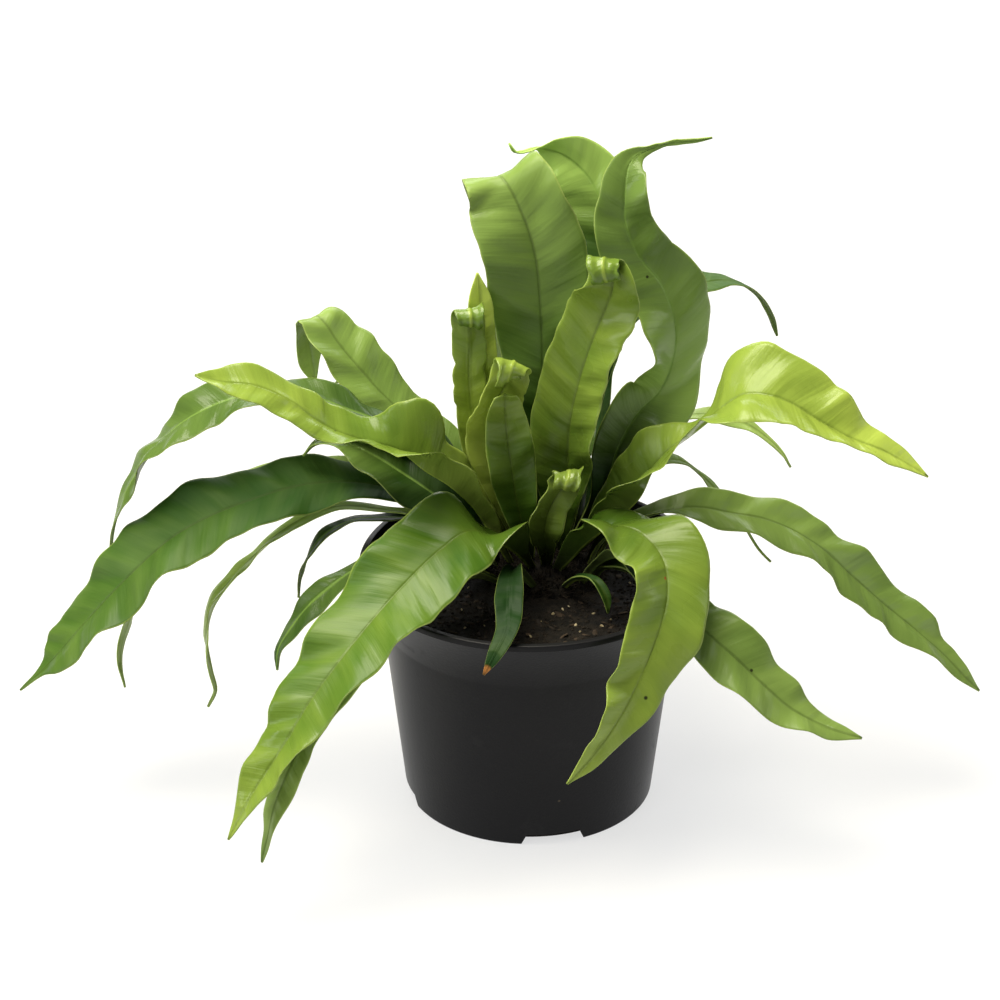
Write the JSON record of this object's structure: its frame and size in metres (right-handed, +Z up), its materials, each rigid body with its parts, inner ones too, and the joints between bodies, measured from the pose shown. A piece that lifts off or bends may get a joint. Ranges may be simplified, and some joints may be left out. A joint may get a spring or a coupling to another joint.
{
  "type": "potted japanese birds nest fern",
  "caption": "Bird's nest fern with long wavy strap-shaped fronds rising and arching from a scaly crown, in a round black plastic nursery pot of dark soil.",
  "frame": {"origin": "centre of the pot's underside, on the pot's axis and on the surface that it stands on", "axes": "+Z up along the pot's axis; +X to the right of the side seen from the front, along the widest spread of the fronds; +Y away from that side"},
  "size_m": [0.4689, 0.3244, 0.3291],
  "materials": {
    "pot": "satin black moulded plastic, faintly ringed, with light scuffs",
    "soil": null,
    "crown": null,
    "young_blade": null,
    "grown_blade": null,
    "old_blade": null
  },
  "bodies": {
    "root": {"pot": "pot", "soil": "soil", "crown": "crown", "frond_tall_broad": "grown_blade", "frond_tall_behind": "old_blade", "frond_tall_wavy": "old_blade", "frond_upright_left": "young_blade", "frond_upright_inner": "young_blade", "frond_young_right": "young_blade", "frond_young_left": "young_blade", "frond_young_middle": "young_blade", "frond_youngest": "young_blade", "frond_twisted_right": "young_blade", "frond_front_right": "young_blade", "frond_front_left": "young_blade", "frond_left_bright": "young_blade", "frond_long_right": "grown_blade", "frond_low_right": "grown_blade", "frond_back_right": "grown_blade", "frond_narrow_right": "grown_blade", "frond_thread_right": "grown_blade", "frond_long_left": "grown_blade", "frond_under_long_left": "grown_blade", "frond_left_dark": "old_blade", "frond_left_hidden": "old_blade", "frond_back_left": "grown_blade", "frond_back_left_small": "old_blade", "frond_thin_left": "grown_blade", "frond_thin_left_dark": "old_blade", "frond_low_left_dark": "old_blade", "frond_under_front_left": "grown_blade", "frond_short_front": "old_blade", "frond_short_right": "old_blade", "frond_short_tip": "young_blade", "frond_rear_tall": "grown_blade", "frond_rear_left": "grown_blade", "frond_rear_right": "grown_blade", "frond_rear_low": "old_blade", "frond_rear_low_right": "old_blade", "frond_rear_low_left": "old_blade"}
  },
  "joints": []
}
